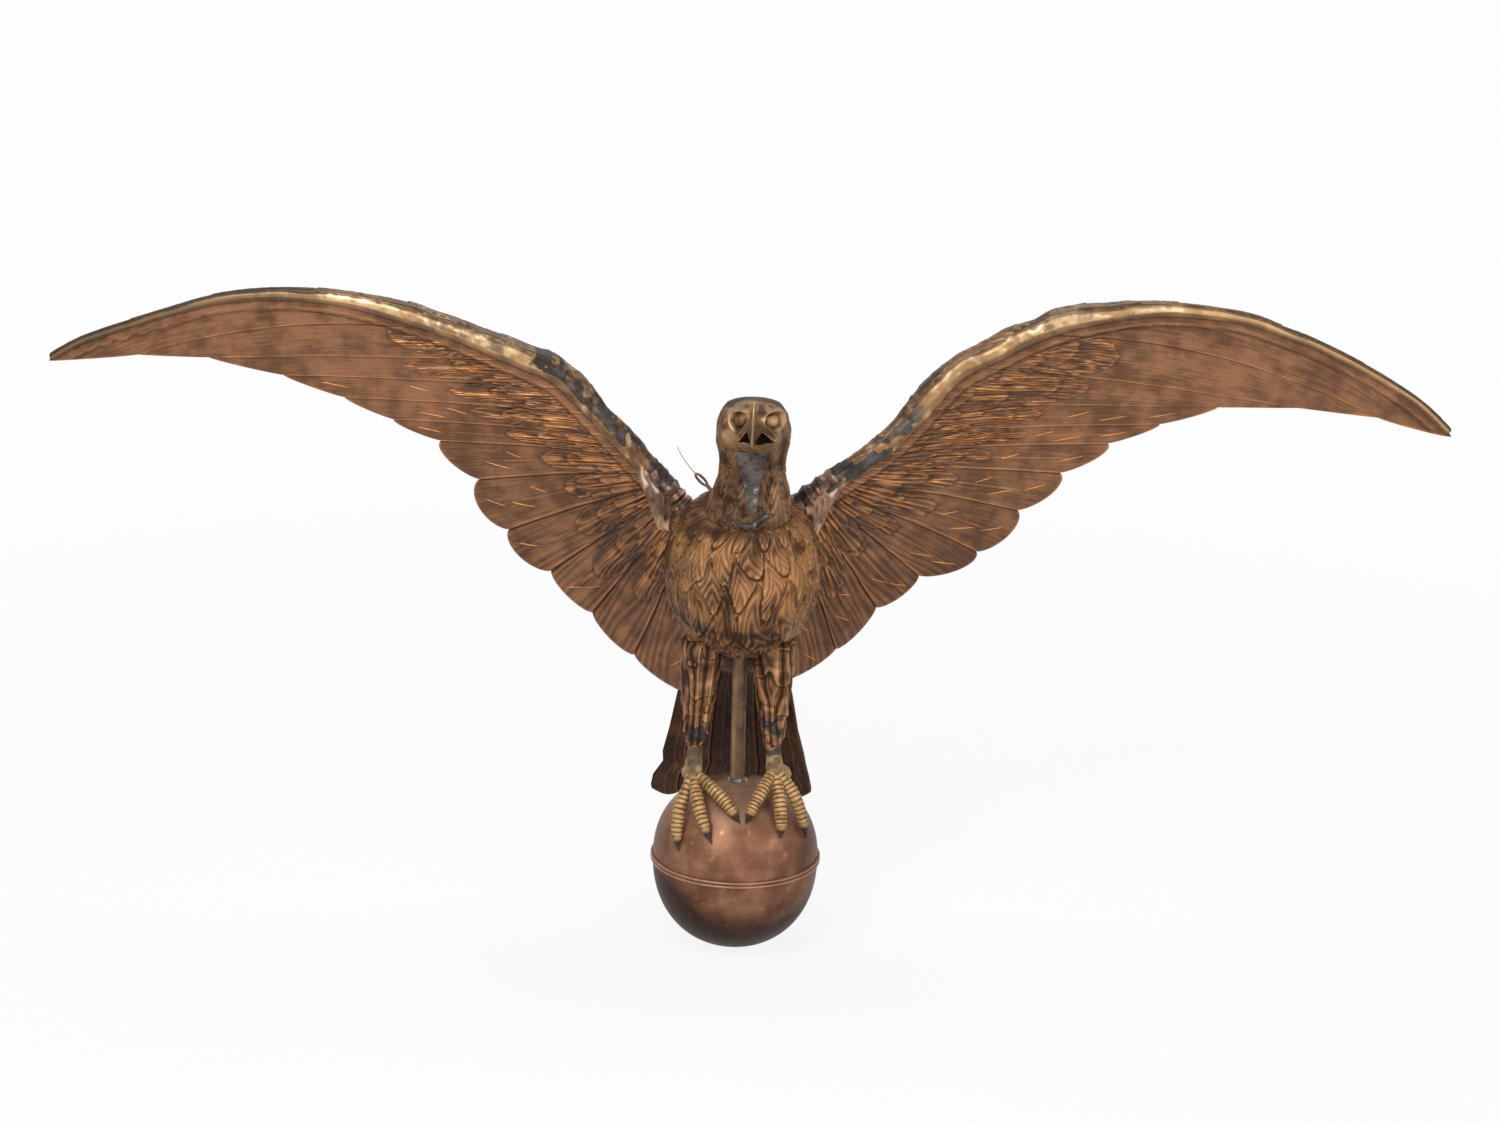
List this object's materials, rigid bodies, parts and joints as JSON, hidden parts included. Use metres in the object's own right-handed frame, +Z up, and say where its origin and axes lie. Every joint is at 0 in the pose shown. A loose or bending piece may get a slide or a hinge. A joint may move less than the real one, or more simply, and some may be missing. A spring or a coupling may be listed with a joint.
{
  "type": "eagle weathervane",
  "caption": "Full-bodied spread-wing eagle of formed sheet copper perched on a ball, turning freely on a hidden upright spindle.",
  "frame": {"origin": "centre of the spindle's flat lower end face, 2.5 mm below the ball", "axes": "+Z up along the spindle; +X out along the eagle's own left wing; the eagle faces -Y"},
  "size_m": [1.5237, 0.3171, 0.7378],
  "materials": {
    "aged_copper": "aged sheet copper with worn gilding and brown patina",
    "dark_copper": "dark brown patinated sheet copper",
    "ball_copper": "satin pinkish-brown copper with soft wear",
    "worn_gilt": "worn gilding over copper",
    "lead_solder": "dark grey lead solder",
    "dark_iron": "brown rusted iron",
    "spindle_steel": "turned steel"
  },
  "bodies": {
    "mast": {"spindle": "spindle_steel"},
    "vane": {"pivot_tube": "dark_iron", "pivot_cap": "spindle_steel", "guide_bush": "spindle_steel", "ball_upper_half": "ball_copper", "ball_lower_half": "ball_copper", "ball_seam_band": "ball_copper", "tube_solder_collar": "lead_solder", "body_breast_shell": "aged_copper", "body_back_shell": "aged_copper", "head_left_shell": "aged_copper", "head_right_shell": "aged_copper", "lower_mandible": "aged_copper", "throat_solder": "lead_solder", "neck_solder_ring": "lead_solder", "tail_lower_sheet": "dark_copper", "tail_upper_sheet": "dark_copper", "wing_spar": "dark_iron", "spar_clamp": "dark_iron", "hanging_loop": "dark_iron", "left_wing_front_sheet": "aged_copper", "left_wing_back_sheet": "aged_copper", "left_wing_leading_edge": "worn_gilt", "left_wing_root_collar": "aged_copper", "right_wing_front_sheet": "aged_copper", "right_wing_back_sheet": "aged_copper", "right_wing_leading_edge": "worn_gilt", "right_wing_root_collar": "aged_copper", "left_thigh": "aged_copper", "left_foot": "worn_gilt", "right_thigh": "aged_copper", "right_foot": "worn_gilt"}
  },
  "joints": [
    {"name": "vane_spin", "type": "hinge", "parent": "mast", "child": "vane", "pos_m": [0, 0, 0], "axis": [0, 0, 1], "continuous": true}
  ]
}
